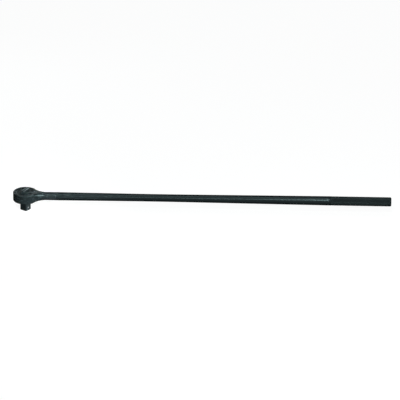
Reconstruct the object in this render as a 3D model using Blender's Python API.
"""Long-handled reversible ratchet with a 3/4 inch square drive, 36 inches overall.

The origin is the middle of the square drive's end face. +Z runs up the drive axis and +X along the
handle. The drive spindle turns inside the head's toothed bore and carries two mirrored pawls, of which
the selector dial's cam lifts one out. The object is at rest with the forward pawl in the teeth.
"""

import math

import bmesh
import bpy
from mathutils import Matrix, Vector

MM = 0.001
GAP = 0.3 * MM
OVERRUN = 1.0 * MM  # how far a cutter runs past the face that it opens
SHARP_ANGLE = math.radians(32)

# Overall size and the head
OVERALL_LENGTH = 914.4 * MM
HEAD_RADIUS = 29.7 * MM
HEAD_BOTTOM = 25.5 * MM
HEAD_TOP = 47.0 * MM
HEAD_EDGE = 1.6 * MM
BAR_HEIGHT = (HEAD_BOTTOM + HEAD_TOP) / 2

# Inside the head
FLOOR_TOP = HEAD_BOTTOM + 2.9 * MM
FLOOR_HOLE_RADIUS = 15.0 * MM
TOOTH_COUNT = 24
TOOTH_PITCH = 2 * math.pi / TOOTH_COUNT
TOOTH_TIP_RADIUS = 19.6 * MM
TOOTH_ROOT_RADIUS = 21.6 * MM
TOOTH_LAND = math.radians(1.5)
TEETH_TOP = 39.4 * MM
COVER_SEAT_RADIUS = 22.5 * MM
COVER_TOP = 43.9 * MM
RING_GROOVE_RADIUS = 23.7 * MM
RING_GROOVE_BOTTOM = 44.0 * MM
RING_GROOVE_TOP = 45.8 * MM
SNAP_RING_INNER = 20.9 * MM
SNAP_RING_OUTER = 23.3 * MM
SNAP_RING_GAP = math.radians(16)
SNAP_RING_TURN = math.radians(110)
WASHER_INNER = 15.7 * MM
WASHER_OUTER = 19.1 * MM

# Handle: neck, tapered bar and grip, as distances from the drive axis
NECK_START = 18.0 * MM
NECK_END = 48.0 * MM
NECK_STATIONS = 9
NECK_SQUARENESS = 5.0  # superellipse power where the neck leaves the head; the round bar's is 2
SHOULDER_X = 80.0 * MM
WAIST_X = 320.0 * MM
WAIST_BLEND = 70.0 * MM
PLAIN_STATIONS = (200.0 * MM, 530.0 * MM)
GRIP_X = 738.0 * MM
HANDLE_END = OVERALL_LENGTH - HEAD_RADIUS
BAR_RADIUS_NECK = 9.85 * MM
BAR_RADIUS_SHOULDER = 9.95 * MM
BAR_RADIUS_WAIST = 8.95 * MM
BAR_RADIUS_GRIP = 11.2 * MM
GRIP_END_CHAMFER = 2.2 * MM
HANDLE_SIDES = 32

# Square drive and spindle
SQUARE = 19.05 * MM
SQUARE_LENGTH = 23.0 * MM
SQUARE_CORNER = 1.8 * MM
SQUARE_CHAMFER = 1.2 * MM
DRIVE_TURN = math.radians(-36)
BOSS_RADIUS = 14.2 * MM
JOURNAL_RADIUS = 14.6 * MM
SPINDLE_RADIUS = 19.2 * MM
SPINDLE_BOTTOM = 29.8 * MM
SPINDLE_TOP = 37.6 * MM
CAM_POCKET_RADIUS = 8.9 * MM
CAM_POCKET_FLOOR = 28.4 * MM
SEAL_GROOVE_RADIUS = 13.0 * MM
SEAL_HEIGHT = 27.2 * MM
SEAL_SECTION = 0.65 * MM
SEAL_ROOM = 0.35 * MM

# Pawls, in the spindle's own turned axes; the reverse pawl is the forward one mirrored in its x axis
PAWL_FLOOR = 32.0 * MM
PAWL_PIVOT_RADIUS = 14.5 * MM
PAWL_PIVOT_ANGLE = math.radians(120)
PAWL_NOSE_ANGLE = math.radians(75)
PAWL_STRUT_ANGLE = math.radians(30)
PAWL_SWING = math.radians(12.5)
PAWL_EYE_RADIUS = 3.2 * MM
PAWL_TAIL_REACH = 5.6 * MM
PAWL_TAIL_RADIUS = 1.6 * MM
PAWL_TAIL_ANGLE = math.radians(-80)
PIN_RADIUS = 1.7 * MM
PIN_SEAT_DEPTH = 1.8 * MM
PAWL_CLEARANCE = 0.4 * MM
SPRING_REACH = 12.0 * MM
SPRING_FACE_OFFSET = 5.0 * MM
SPRING_HOLE_RADIUS = 2.3 * MM
SPRING_HOLE_DEPTH = 9.3 * MM
PLUNGER_RADIUS = 2.0 * MM
PLUNGER_BORE = 1.5 * MM
PLUNGER_LENGTH = 5.0 * MM
PLUNGER_WALL = 1.3 * MM
PLUNGER_FRONT = 0.45 * MM
PLUNGER_TRAVEL = 2.95 * MM
PAWL_SPRING_RADIUS = 0.95 * MM
THIN_WIRE = 0.22 * MM

# Selector
SELECTOR_TURN = math.radians(50)
DIAL_TURN = math.radians(58)
DIAL_RADIUS = 15.0 * MM
DIAL_TOP = HEAD_TOP + 0.9 * MM
DIAL_EDGE = 1.2 * MM
FLANGE_RADIUS = 17.0 * MM
FLANGE_TOP = 39.4 * MM
THUMB_BAR_LENGTH = 28.4 * MM
THUMB_BAR_WIDTH = 8.6 * MM
THUMB_BAR_TOP = HEAD_TOP + 5.6 * MM
THUMB_GROOVE_RADIUS = 2.3 * MM
THUMB_GROOVE_LIFT = 0.8 * MM
STEM_RADIUS = 4.0 * MM
STEM_FLAT = 3.0 * MM
STEM_BOTTOM = 28.9 * MM
CLIP_GROOVE_RADIUS = 3.0 * MM
CLIP_HEIGHT = 30.0 * MM
CLIP_THICKNESS = 0.6 * MM
CLIP_RADIUS = 6.0 * MM
CLIP_MOUTH = math.radians(80)
CAM_BOTTOM = 30.9 * MM
CAM_TOP = 37.5 * MM
CAM_BASE_RADIUS = 5.4 * MM
CAM_LOBE_REACH = 6.7 * MM
CAM_LOBE_RADIUS = 1.5 * MM
CAM_LOBE_ANGLES = (math.radians(75), math.radians(-125))

# Detent under the dial's flange, and the socket ball in the square
DETENT_RADIUS = 13.8 * MM
DETENT_ANGLE = math.radians(180)
DETENT_BALL = 1.5 * MM
DETENT_BALL_HEIGHT = 36.9 * MM
DETENT_FLOOR = 30.8 * MM
DETENT_SPRING_RADIUS = 1.1 * MM
TRACK_CLEARANCE = 0.4 * MM
TRACK_DEPTH = 0.8 * MM
DIMPLE_DEPTH = 1.0 * MM
SOCKET_BALL = 2.4 * MM
SOCKET_BALL_HEIGHT = 8.0 * MM
SOCKET_BALL_CENTRE = 8.4 * MM
SOCKET_HOLE_DEPTH = 3.6 * MM
SOCKET_SPRING_RADIUS = 1.8 * MM
SOCKET_SPRING_WIRE = 0.32 * MM

MATERIALS = {
    "black_oxide": ((0.026, 0.034, 0.035), 0.42, 0.85),
    "hardened_steel": ((0.30, 0.30, 0.31), 0.35, 1.0),
    "bright_steel": ((0.72, 0.72, 0.74), 0.18, 1.0),
    "spring_steel": ((0.24, 0.25, 0.27), 0.3, 1.0),
    "seal_rubber": ((0.015, 0.015, 0.016), 0.7, 0.0),
}


def clear_scene():
    for obj in list(bpy.data.objects):
        bpy.data.objects.remove(obj)


def material(name):
    found = bpy.data.materials.get(name)
    if found:
        return found
    colour, roughness, metallic = MATERIALS[name]
    made = bpy.data.materials.new(name)
    made.use_nodes = True
    shader = made.node_tree.nodes["Principled BSDF"]
    shader.inputs["Base Color"].default_value = (*colour, 1)
    shader.inputs["Roughness"].default_value = roughness
    shader.inputs["Metallic"].default_value = metallic
    made.diffuse_color = (*colour, 1)
    return made


def polar(radius, angle):
    return Vector((radius * math.cos(angle), radius * math.sin(angle)))


def object_from(bm, name, finish):
    """A node from a bmesh, smooth with its hard edges kept sharp."""
    bmesh.ops.recalc_face_normals(bm, faces=bm.faces)
    mesh = bpy.data.meshes.new(name)
    bm.to_mesh(mesh)
    bm.free()
    mesh.shade_smooth()
    mesh.set_sharp_from_angle(angle=SHARP_ANGLE)
    obj = bpy.data.objects.new(name, mesh)
    obj.data.materials.append(material(finish))
    bpy.context.scene.collection.objects.link(obj)
    return obj


def turned(name, profile, finish, sides=48, place=None):
    """A closed solid of revolution about Z from (radius, height) points.

    A profile that starts and ends on the axis gets flat caps there; any other closes on itself.
    """
    capped = profile[0][0] == 0
    bm = bmesh.new()
    rings = []
    for radius, height in profile[1:-1] if capped else profile:
        points = [polar(radius, 2 * math.pi * i / sides) for i in range(sides)]
        rings.append([bm.verts.new((p.x, p.y, height)) for p in points])
    pairs = list(zip(rings, rings[1:]))
    if capped:
        bm.faces.new(rings[0])
        bm.faces.new(rings[-1])
    else:
        pairs.append((rings[-1], rings[0]))
    for low, high in pairs:
        for i in range(sides):
            j = (i + 1) % sides
            bm.faces.new((low[i], low[j], high[j], high[i]))
    if place is not None:
        bm.transform(place)
    return object_from(bm, name, finish)


def prism(name, outline, low, high, finish, place=None):
    """A solid with this 2-D outline between two heights."""
    bm = bmesh.new()
    bottom = [bm.verts.new((p[0], p[1], low)) for p in outline]
    top = [bm.verts.new((p[0], p[1], high)) for p in outline]
    bm.faces.new(reversed(bottom))
    bm.faces.new(top)
    count = len(outline)
    for i in range(count):
        bm.faces.new((bottom[i], bottom[(i + 1) % count], top[(i + 1) % count], top[i]))
    if place is not None:
        bm.transform(place)
    return object_from(bm, name, finish)


def circle(centre, radius, count=20):
    return [Vector(centre) + polar(radius, 2 * math.pi * i / count) for i in range(count)]


def hull(points):
    """The convex outline around 2-D points, counter-clockwise."""
    ordered = sorted({(round(p[0], 8), round(p[1], 8)) for p in points})

    def half(sequence):
        chain = []
        for p in sequence:
            while len(chain) > 1:
                (ax, ay), (bx, by) = chain[-2], chain[-1]
                if (bx - ax) * (p[1] - ay) - (by - ay) * (p[0] - ax) > 1e-12:
                    break
                chain.pop()
            chain.append(p)
        return chain[:-1]

    return half(ordered) + half(ordered[::-1])


def boolean(obj, other, operation):
    """Applies a cut or a union to an object, and removes the other object."""
    modifier = obj.modifiers.new(operation.lower(), "BOOLEAN")
    modifier.operation = operation
    modifier.solver = "EXACT"
    modifier.object = other
    graph = bpy.context.evaluated_depsgraph_get()
    result = bpy.data.meshes.new_from_object(obj.evaluated_get(graph))
    obj.modifiers.clear()
    obj.data = result
    bpy.data.objects.remove(other)
    obj.data.shade_smooth()
    obj.data.set_sharp_from_angle(angle=SHARP_ANGLE)


def cut(obj, *cutters):
    for cutter in cutters:
        boolean(obj, cutter, "DIFFERENCE")


def join(obj, *others):
    for other in others:
        boolean(obj, other, "UNION")


def set_origin(obj, point):
    """Moves an object's origin to a point without moving its shape."""
    obj.data.transform(Matrix.Translation(-Vector(point)))
    obj.location = point


def spindle_turn():
    return Matrix.Rotation(DRIVE_TURN, 4, "Z")


def along(direction, start):
    """Places a shape made along +Z so that it starts at a point and runs along a direction."""
    return Matrix.Translation(start) @ Vector(direction).to_track_quat("Z", "Y").to_matrix().to_4x4()


def coil(name, length, radius, wire, turns, place, wire_sides=5, steps=10):
    """A round wire wound along +Z, with closed ends."""
    bm = bmesh.new()
    count = int(turns * steps)
    rings = []
    for i in range(count + 1):
        angle = 2 * math.pi * i / steps
        height = wire + (length - 2 * wire) * i / count
        outward = Vector((math.cos(angle), math.sin(angle), 0))
        ring = []
        for j in range(wire_sides):
            turn = 2 * math.pi * j / wire_sides
            offset = outward * (wire * math.cos(turn)) + Vector((0, 0, wire * math.sin(turn)))
            ring.append(bm.verts.new(outward * radius + Vector((0, 0, height)) + offset))
        rings.append(ring)
    for low, high in zip(rings, rings[1:]):
        for j in range(wire_sides):
            k = (j + 1) % wire_sides
            bm.faces.new((low[j], low[k], high[k], high[j]))
    bm.faces.new(rings[0])
    bm.faces.new(rings[-1])
    bm.transform(place)
    return object_from(bm, name, "spring_steel")


def open_ring(name, inner, outer, low, high, gap, finish, steps=40):
    """A flat ring with a gap in it, centred on the angle 0."""
    angles = [gap / 2 + (2 * math.pi - gap) * i / steps for i in range(steps + 1)]
    outline = [polar(outer, a) for a in angles] + [polar(inner, a) for a in reversed(angles)]
    return prism(name, outline, low, high, finish)


def blend(start, end, share):
    return start + (end - start) * share


def bar_radius(x):
    """The tapered bar's radius: it narrows to a waist, then widens to the grip."""
    if x < SHOULDER_X:
        share = max(0, (x - NECK_END) / (SHOULDER_X - NECK_END))
        return blend(BAR_RADIUS_NECK, BAR_RADIUS_SHOULDER, share)
    narrowing = (BAR_RADIUS_WAIST - BAR_RADIUS_SHOULDER) / (WAIST_X - SHOULDER_X)
    widening = (BAR_RADIUS_GRIP - BAR_RADIUS_WAIST) / (GRIP_X - WAIST_X)
    if abs(x - WAIST_X) < WAIST_BLEND:
        past = x - WAIST_X + WAIST_BLEND
        start = BAR_RADIUS_WAIST - narrowing * WAIST_BLEND
        return start + narrowing * past + (widening - narrowing) * past**2 / (4 * WAIST_BLEND)
    slope = narrowing if x < WAIST_X else widening
    return BAR_RADIUS_WAIST + slope * (x - WAIST_X)


def neck_fillet():
    """(radius, start) of the arc from a tangent at the head's rim to the bar's side at NECK_END."""
    reach = NECK_END**2 + BAR_RADIUS_NECK**2 - HEAD_RADIUS**2
    radius = reach / (2 * (HEAD_RADIUS - BAR_RADIUS_NECK))
    return radius, NECK_END * HEAD_RADIUS / (HEAD_RADIUS + radius)


def handle_section(x):
    """(half width, half height, squareness) of the handle at a distance from the drive axis."""
    if x >= GRIP_X:
        chamfer = max(0, x - (HANDLE_END - GRIP_END_CHAMFER))
        return BAR_RADIUS_GRIP - chamfer, BAR_RADIUS_GRIP - chamfer, 2
    if x >= NECK_END:
        return bar_radius(x), bar_radius(x), 2
    fillet, start = neck_fillet()
    left = NECK_END - max(x, start)
    half_width = BAR_RADIUS_NECK + fillet - math.sqrt(fillet**2 - left**2)
    share = left / (NECK_END - start)
    half_height = blend(BAR_RADIUS_NECK, (HEAD_TOP - HEAD_BOTTOM) / 2 - 0.1 * MM, min(1, 1.5 * share))
    return half_width, half_height, blend(2, NECK_SQUARENESS, share)


def handle_stations():
    neck_start = neck_fillet()[1]
    neck = [blend(neck_start, NECK_END, i / NECK_STATIONS) for i in range(NECK_STATIONS + 1)]
    waist = [WAIST_X + WAIST_BLEND * share for share in (-1, -0.5, 0, 0.5, 1)]
    grip = [GRIP_X, HANDLE_END - GRIP_END_CHAMFER, HANDLE_END]
    return sorted([NECK_START, *neck, SHOULDER_X, *PLAIN_STATIONS, *waist, *grip])


def handle_bar():
    """Neck, bar and grip as one loft of rounded sections along +X."""
    bm = bmesh.new()
    rings = []
    for x in handle_stations():
        half_width, half_height, squareness = handle_section(x)
        ring = []
        for i in range(HANDLE_SIDES):
            angle = 2 * math.pi * i / HANDLE_SIDES
            side, up = math.cos(angle), math.sin(angle)
            y = math.copysign(abs(side) ** (2 / squareness), side) * half_width
            z = math.copysign(abs(up) ** (2 / squareness), up) * half_height
            ring.append(bm.verts.new((x, y, BAR_HEIGHT + z)))
        rings.append(ring)
    for near, far in zip(rings, rings[1:]):
        for i in range(HANDLE_SIDES):
            j = (i + 1) % HANDLE_SIDES
            bm.faces.new((near[i], near[j], far[j], far[i]))
    bm.faces.new(rings[0])
    bm.faces.new(rings[-1])
    return object_from(bm, "handle_bar", "black_oxide")


def head_disc():
    """The round head, with softened upper and lower edges."""
    steps = 3
    centre = (HEAD_RADIUS - HEAD_EDGE, HEAD_BOTTOM + HEAD_EDGE)
    lower = []
    for i in range(steps + 1):
        turn = polar(HEAD_EDGE, math.pi / 2 * (i / steps - 1))
        lower.append((centre[0] + turn.x, centre[1] + turn.y))
    upper = [(radius, HEAD_BOTTOM + HEAD_TOP - height) for radius, height in reversed(lower)]
    profile = [(0, HEAD_BOTTOM), *lower, *upper, (0, HEAD_TOP)]
    return turned("handle", profile, "black_oxide", sides=72)


def toothed_bore():
    """Cutter for the head's 24 inner teeth, with a space where each pawl's nose enters."""
    outline = []
    phase = PAWL_NOSE_ANGLE + DRIVE_TURN
    for i in range(TOOTH_COUNT):
        centre = phase + TOOTH_PITCH * i
        outline.append(polar(TOOTH_ROOT_RADIUS, centre - TOOTH_LAND / 2))
        outline.append(polar(TOOTH_ROOT_RADIUS, centre + TOOTH_LAND / 2))
        outline.append(polar(TOOTH_TIP_RADIUS, centre + (TOOTH_PITCH - TOOTH_LAND) / 2))
        outline.append(polar(TOOTH_TIP_RADIUS, centre + (TOOTH_PITCH + TOOTH_LAND) / 2))
    return prism("teeth_cutter", outline, FLOOR_TOP, TEETH_TOP + GAP, "black_oxide")


def cover_bore():
    """Cutter for the cover's seat and the snap ring's groove, above the teeth."""
    chamfer = 0.6 * MM
    seat = [
        (0, TEETH_TOP),
        (COVER_SEAT_RADIUS, TEETH_TOP),
        (COVER_SEAT_RADIUS, RING_GROOVE_BOTTOM),
        (RING_GROOVE_RADIUS, RING_GROOVE_BOTTOM),
        (RING_GROOVE_RADIUS, RING_GROOVE_TOP),
        (COVER_SEAT_RADIUS, RING_GROOVE_TOP),
        (COVER_SEAT_RADIUS, HEAD_TOP - chamfer),
        (COVER_SEAT_RADIUS + chamfer + OVERRUN, HEAD_TOP + OVERRUN),
        (0, HEAD_TOP + OVERRUN),
    ]
    return turned("seat_cutter", seat, "black_oxide", sides=72)


def floor_hole():
    low, high = HEAD_BOTTOM - OVERRUN, FLOOR_TOP + OVERRUN
    profile = [(0, low), (FLOOR_HOLE_RADIUS, low), (FLOOR_HOLE_RADIUS, high), (0, high)]
    return turned("floor_cutter", profile, "black_oxide", sides=60)


def make_handle():
    handle = head_disc()
    join(handle, handle_bar())
    cut(handle, cover_bore(), toothed_bore(), floor_hole())


def make_head_fittings():
    """Cover, snap ring, thrust washer and dust seal, which stay with the head."""
    cover = ring_profile(DIAL_RADIUS + GAP, COVER_SEAT_RADIUS - GAP, TEETH_TOP + GAP, COVER_TOP)
    turned("cover_plate", cover, "black_oxide", sides=60)
    low, high = RING_GROOVE_BOTTOM + GAP, RING_GROOVE_TOP - GAP
    ring = open_ring(
        "cover_snap_ring", SNAP_RING_INNER, SNAP_RING_OUTER, low, high, SNAP_RING_GAP, "spring_steel"
    )
    ring.data.transform(Matrix.Rotation(SNAP_RING_TURN, 4, "Z"))
    washer = ring_profile(WASHER_INNER, WASHER_OUTER, FLOOR_TOP + GAP, SPINDLE_BOTTOM - GAP)
    turned("thrust_washer", washer, "hardened_steel")
    centre = SEAL_GROOVE_RADIUS + GAP + SEAL_SECTION
    seal = [(centre + p.x, SEAL_HEIGHT + p.y) for p in circle((0, 0), SEAL_SECTION, 8)]
    turned("dust_seal", seal, "seal_rubber", sides=36)


def ring_profile(inner, outer, low, high):
    return [(inner, low), (outer, low), (outer, high), (inner, high)]


def pawl_pivot():
    return polar(PAWL_PIVOT_RADIUS, PAWL_PIVOT_ANGLE)


def pawl_nose():
    """The nose, from (outwards, around) in millimetres; its leading flank lies along a tooth's."""
    outward = polar(MM, PAWL_NOSE_ANGLE)
    around = Vector((-outward.y, outward.x))
    tip = [(21.35, -0.03), (21.2, 0.35)]
    root = [(18.9, 2.4), (16.2, -3.0), (18.5, -2.91)]
    return [[outward * r + around * t for r, t in points] for points in (tip, root)]


def pawl_shapes():
    """The forward pawl's convex pieces: nose, arm with its eye, and tail."""
    tip, root = pawl_nose()
    pivot = pawl_pivot()
    tail_end = pivot + polar(PAWL_TAIL_REACH, PAWL_TAIL_ANGLE)
    tail_eye = circle(pivot, PAWL_EYE_RADIUS - 0.6 * MM, 24)
    return {
        "arm": hull(root + circle(pivot, PAWL_EYE_RADIUS, 24)),
        "nose": hull(tip + root),
        "tail": hull(tail_eye + circle(tail_end, PAWL_TAIL_RADIUS, 16)),
    }


def swung(outline, angle):
    """An outline turned about the pawl's pivot."""
    pivot = pawl_pivot()
    turn = Matrix.Rotation(angle, 2)
    return [pivot + turn @ (Vector(p) - pivot) for p in outline]


def swept(outline):
    """The room that an outline needs over the pawl's whole swing, with a clearance all round."""
    room = []
    for share in (0, 0.5, 1):
        for point in swung(outline, -PAWL_SWING * share):
            room += circle(point, PAWL_CLEARANCE, 8)
    return hull(room)


def pawl_place(mirrored):
    """Takes the forward pawl's drawing into the head, or its mirror image for the reverse pawl."""
    return spindle_turn() @ Matrix.Scale(-1, 4, (0, 1, 0)) if mirrored else spindle_turn()


def make_pawl(name, mirrored):
    swing = -PAWL_SWING if mirrored else 0
    low, high = PAWL_FLOOR + GAP, SPINDLE_TOP - GAP
    place = pawl_place(mirrored)
    shapes = pawl_shapes()
    pawl = prism(name, swung(shapes.pop("arm"), swing), low, high, "hardened_steel", place)
    for piece, outline in shapes.items():
        join(pawl, prism(piece, swung(outline, swing), low, high, "hardened_steel", place))
    hole = circle(pawl_pivot(), PIN_RADIUS + GAP, 24)
    cut(pawl, prism("eye", hole, low - OVERRUN, high + OVERRUN, "hardened_steel", place))
    pivot = place @ pawl_pivot().to_3d()
    set_origin(pawl, (pivot.x, pivot.y, (low + high) / 2))


def make_pawl_pin(name, mirrored):
    low, high = PAWL_FLOOR - PIN_SEAT_DEPTH + GAP, SPINDLE_TOP - GAP
    edge = 0.3 * MM
    side = [(PIN_RADIUS, low), (PIN_RADIUS, high - edge)]
    profile = [(0, low), *side, (PIN_RADIUS - edge, high), (0, high)]
    pivot = pawl_place(mirrored) @ pawl_pivot().to_3d()
    turned(name, profile, "hardened_steel", sides=24, place=Matrix.Translation(pivot))


def spring_line(mirrored):
    """(start, direction) of a pawl spring's hole, from the engaged pawl's inner face inwards."""
    strut = polar(1, PAWL_STRUT_ANGLE)
    inward = Vector((strut.y, -strut.x))
    start = pawl_pivot() + strut * SPRING_REACH + inward * SPRING_FACE_OFFSET
    height = (PAWL_FLOOR + SPINDLE_TOP) / 2
    place = pawl_place(mirrored)
    return place @ Vector((start.x, start.y, height)), (place.to_3x3() @ inward.to_3d()).normalized()


def make_pawl_spring(name, plunger_name, mirrored):
    """A cup-shaped plunger against the pawl, around its spring; the reverse one is pushed in at rest."""
    start, inward = spring_line(mirrored)
    front = PLUNGER_FRONT + (PLUNGER_TRAVEL if mirrored else 0)
    profile = [
        (0, 0),
        (PLUNGER_RADIUS - PLUNGER_WALL, 0),
        (PLUNGER_RADIUS, PLUNGER_WALL),
        (PLUNGER_RADIUS, PLUNGER_LENGTH),
        (PLUNGER_BORE, PLUNGER_LENGTH),
        (PLUNGER_BORE, PLUNGER_WALL),
        (0, PLUNGER_WALL),
    ]
    plunger = turned(plunger_name, profile, "hardened_steel", 20, along(inward, start + inward * front))
    set_origin(plunger, start + inward * front)
    spring_start = front + PLUNGER_WALL + GAP
    length = SPRING_HOLE_DEPTH - GAP - spring_start
    coil(name, length, PAWL_SPRING_RADIUS, THIN_WIRE, 5, along(inward, start + inward * spring_start))


def detent_point():
    return spindle_turn() @ polar(DETENT_RADIUS, DETENT_ANGLE).to_3d()


def make_detent():
    point = detent_point()
    sphere("detent_ball", DETENT_BALL, point + Vector((0, 0, DETENT_BALL_HEIGHT)), "bright_steel")
    low = DETENT_FLOOR + GAP
    length = DETENT_BALL_HEIGHT - DETENT_BALL - GAP - low
    place = Matrix.Translation(point + Vector((0, 0, low)))
    coil("detent_spring", length, DETENT_SPRING_RADIUS, THIN_WIRE, 4.5, place)


def sphere(name, radius, centre, finish):
    bm = bmesh.new()
    bmesh.ops.create_uvsphere(bm, u_segments=16, v_segments=10, radius=radius)
    obj = object_from(bm, name, finish)
    obj.location = centre
    return obj


def socket_axis():
    return (spindle_turn() @ Vector((1, 0, 0))).normalized()


def make_socket_ball():
    outward = socket_axis()
    height = Vector((0, 0, SOCKET_BALL_HEIGHT))
    sphere("socket_ball", SOCKET_BALL, outward * SOCKET_BALL_CENTRE + height, "bright_steel")
    start = -SOCKET_HOLE_DEPTH + GAP
    length = SOCKET_BALL_CENTRE - SOCKET_BALL - GAP - start
    place = along(outward, outward * start + height)
    coil("socket_ball_spring", length, SOCKET_SPRING_RADIUS, SOCKET_SPRING_WIRE, 5, place)


def square_tang():
    """The square with rounded corners and a chamfered end."""
    half = SQUARE / 2
    corners = [(1, 1), (-1, 1), (-1, -1), (1, -1)]

    def outline(shrink):
        inner = half - SQUARE_CORNER
        radius = SQUARE_CORNER - shrink
        points = []
        for k, (sx, sy) in enumerate(corners):
            for i in range(6):
                turn = polar(radius, math.pi / 2 * (k + i / 5))
                points.append((sx * inner + turn.x, sy * inner + turn.y))
        return points

    bm = bmesh.new()
    rings = []
    for shrink, height in ((SQUARE_CHAMFER, 0), (0, SQUARE_CHAMFER), (0, SQUARE_LENGTH + OVERRUN)):
        rings.append([bm.verts.new((x, y, height)) for x, y in outline(shrink)])
    for low, high in zip(rings, rings[1:]):
        for i in range(len(low)):
            j = (i + 1) % len(low)
            bm.faces.new((low[i], low[j], high[j], high[i]))
    bm.faces.new(rings[0])
    bm.faces.new(rings[-1])
    bm.transform(spindle_turn())
    return object_from(bm, "square_tang", "black_oxide")


def spindle_round():
    """The turned part of the spindle: boss, grooved journal and the body that carries the pawls."""
    groove_half = SEAL_SECTION + SEAL_ROOM
    edge = 0.5 * MM
    profile = [
        (0, SQUARE_LENGTH),
        (BOSS_RADIUS - edge, SQUARE_LENGTH),
        (BOSS_RADIUS, SQUARE_LENGTH + edge),
        (BOSS_RADIUS, HEAD_BOTTOM - 0.1 * MM),
        (JOURNAL_RADIUS, HEAD_BOTTOM + 0.2 * MM),
        (JOURNAL_RADIUS, SEAL_HEIGHT - groove_half),
        (SEAL_GROOVE_RADIUS, SEAL_HEIGHT - groove_half),
        (SEAL_GROOVE_RADIUS, SEAL_HEIGHT + groove_half),
        (JOURNAL_RADIUS, SEAL_HEIGHT + groove_half),
        (JOURNAL_RADIUS, SPINDLE_BOTTOM),
        (SPINDLE_RADIUS, SPINDLE_BOTTOM),
        (SPINDLE_RADIUS, SPINDLE_TOP),
        (0, SPINDLE_TOP),
    ]
    return turned("drive_spindle", profile, "black_oxide", sides=60)


def drilled(name, radius, length, place, sides=20):
    """Cutter for a round hole that starts at the placed origin."""
    profile = [(0, 0), (radius, 0), (radius, length), (0, length)]
    return turned(name, profile, "black_oxide", sides, place)


def pawl_pocket(mirrored):
    """Cutters for one pawl's pocket, pin hole and spring hole."""
    top = SPINDLE_TOP + OVERRUN
    place = pawl_place(mirrored)
    pivot = place @ pawl_pivot().to_3d()
    start, inward = spring_line(mirrored)
    pin_floor = Matrix.Translation((pivot.x, pivot.y, PAWL_FLOOR - PIN_SEAT_DEPTH))
    rooms = [
        prism(f"{piece}_room", swept(outline), PAWL_FLOOR, top, "black_oxide", place)
        for piece, outline in pawl_shapes().items()
    ]
    pin_room = drilled("pin_room", PIN_RADIUS + GAP, PIN_SEAT_DEPTH + OVERRUN, pin_floor, 24)
    spring_room = drilled("spring_room", SPRING_HOLE_RADIUS, SPRING_HOLE_DEPTH, along(inward, start))
    return *rooms, pin_room, spring_room


def make_drive_spindle():
    spindle = spindle_round()
    join(spindle, square_tang())
    well_depth = SPINDLE_TOP + OVERRUN - CAM_POCKET_FLOOR
    well_place = Matrix.Translation((0, 0, CAM_POCKET_FLOOR))
    well = drilled("well", CAM_POCKET_RADIUS, well_depth, well_place, 40)
    detent = Matrix.Translation(detent_point() + Vector((0, 0, DETENT_FLOOR)))
    detent_depth = SPINDLE_TOP + OVERRUN - DETENT_FLOOR
    detent_hole = drilled("detent_room", DETENT_BALL + GAP, detent_depth, detent)
    outward = socket_axis()
    bottom = Vector((0, 0, SOCKET_BALL_HEIGHT)) - outward * SOCKET_HOLE_DEPTH
    socket_hole = drilled("ball_room", SOCKET_BALL + GAP, SQUARE, along(outward, bottom), 24)
    cut(spindle, well, detent_hole, socket_hole, *pawl_pocket(False), *pawl_pocket(True))


def dial_body():
    """Dial, flange and stem, with the stem's clip groove."""
    clip_half = CLIP_THICKNESS / 2 + GAP
    stem_edge = 0.4 * MM
    profile = [
        (0, STEM_BOTTOM),
        (STEM_RADIUS - stem_edge, STEM_BOTTOM),
        (STEM_RADIUS - stem_edge, CLIP_HEIGHT - clip_half),
        (CLIP_GROOVE_RADIUS, CLIP_HEIGHT - clip_half),
        (CLIP_GROOVE_RADIUS, CLIP_HEIGHT + clip_half),
        (STEM_RADIUS, CLIP_HEIGHT + clip_half),
        (STEM_RADIUS, SPINDLE_TOP + GAP),
        (FLANGE_RADIUS, SPINDLE_TOP + GAP),
        (FLANGE_RADIUS, FLANGE_TOP),
        (DIAL_RADIUS, FLANGE_TOP),
        (DIAL_RADIUS, DIAL_TOP - DIAL_EDGE),
        (DIAL_RADIUS - DIAL_EDGE, DIAL_TOP),
        (0, DIAL_TOP),
    ]
    return turned("selector_dial", profile, "black_oxide", sides=56)


def thumb_bar():
    """The raised bar across the dial, with round ends and a groove along its top."""
    reach = (THUMB_BAR_LENGTH - THUMB_BAR_WIDTH) / 2
    low, high = DIAL_TOP - DIAL_EDGE, THUMB_BAR_TOP
    ends = [(-reach, 0), (reach, 0)]
    outline = hull([p for end in ends for p in circle(end, THUMB_BAR_WIDTH / 2, 24)])
    turn = Matrix.Rotation(DIAL_TURN, 4, "Z")
    bar = prism("thumb_bar", outline, low, high, "black_oxide", turn)
    start = turn @ Vector((-THUMB_BAR_LENGTH, 0, THUMB_BAR_TOP + THUMB_GROOVE_LIFT))
    direction = turn @ Vector((1, 0, 0))
    cut(bar, drilled("groove", THUMB_GROOVE_RADIUS, 2 * THUMB_BAR_LENGTH, along(direction, start)))
    return bar


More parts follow.
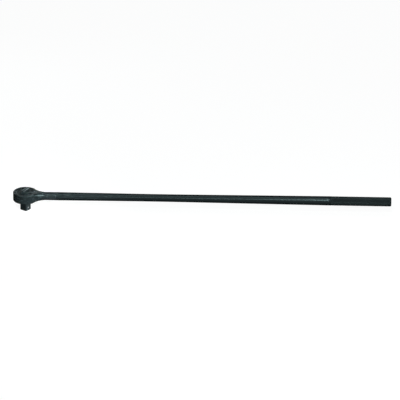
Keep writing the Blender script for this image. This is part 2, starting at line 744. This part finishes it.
def detent_track():
    """Cutters for the arc that the detent ball runs in under the flange, deeper at its two ends."""
    start = DETENT_ANGLE + DRIVE_TURN
    low, underside = SPINDLE_TOP - OVERRUN, SPINDLE_TOP + GAP
    half = DETENT_BALL + TRACK_CLEARANCE
    steps = 10
    angles = [start - SELECTOR_TURN * i / steps for i in range(steps + 1)]
    outer = [polar(DETENT_RADIUS + half, a) for a in angles]
    inner = [polar(DETENT_RADIUS - half, a) for a in reversed(angles)]
    track = prism("track", inner + outer, low, underside + TRACK_DEPTH, "black_oxide")
    ends = []
    for angle in (start, start - SELECTOR_TURN):
        centre = polar(DETENT_RADIUS, angle).to_3d() + Vector((0, 0, low))
        depth = underside + DIMPLE_DEPTH - low
        ends.append(drilled("dimple", half, depth, Matrix.Translation(centre), 24))
    return track, *ends


def stem_flat():
    """Cutter for the flat which keys the cam to the stem."""
    reach = 3 * STEM_RADIUS
    outline = [(STEM_FLAT, -reach), (reach, -reach), (reach, reach), (STEM_FLAT, reach)]
    return prism("flat", outline, CAM_BOTTOM - GAP, SPINDLE_TOP, "black_oxide", spindle_turn())


def make_selector():
    dial = dial_body()
    join(dial, thumb_bar())
    cut(dial, stem_flat(), *detent_track())
    make_selector_cam()
    half = CLIP_THICKNESS / 2
    open_ring(
        "cam_clip",
        CLIP_GROOVE_RADIUS + GAP,
        CLIP_RADIUS,
        CLIP_HEIGHT - half,
        CLIP_HEIGHT + half,
        CLIP_MOUTH,
        "spring_steel",
        20,
    )


def make_selector_cam():
    """Two lobes on the keyed stem: one holds the reverse pawl out at rest, the other waits."""
    low, high = CAM_BOTTOM, CAM_TOP
    turn = spindle_turn()
    base = circle((0, 0), CAM_BASE_RADIUS, 32)
    cam = prism("selector_cam", base, low, high, "hardened_steel", turn)
    for angle in CAM_LOBE_ANGLES:
        tip = circle(polar(CAM_LOBE_REACH, angle), CAM_LOBE_RADIUS, 16)
        lobe = hull(circle((0, 0), 2 * CAM_LOBE_RADIUS, 16) + tip)
        join(cam, prism("lobe", lobe, low, high, "hardened_steel", turn))
    flat, radius = STEM_FLAT + GAP, STEM_RADIUS + GAP
    corner = math.sqrt(radius**2 - flat**2)
    bore = [p for p in circle((0, 0), radius, 32) if p.x < flat]
    bore += [Vector((flat, corner)), Vector((flat, -corner))]
    cut(cam, prism("stem_bore", hull(bore), low - OVERRUN, high + OVERRUN, "hardened_steel", turn))


def main():
    clear_scene()
    make_handle()
    make_head_fittings()
    make_drive_spindle()
    for side, mirrored in (("forward", False), ("reverse", True)):
        make_pawl(f"pawl_{side}", mirrored)
        make_pawl_pin(f"pawl_pin_{side}", mirrored)
        make_pawl_spring(f"pawl_spring_{side}", f"plunger_{side}", mirrored)
    make_detent()
    make_socket_ball()
    make_selector()


main()
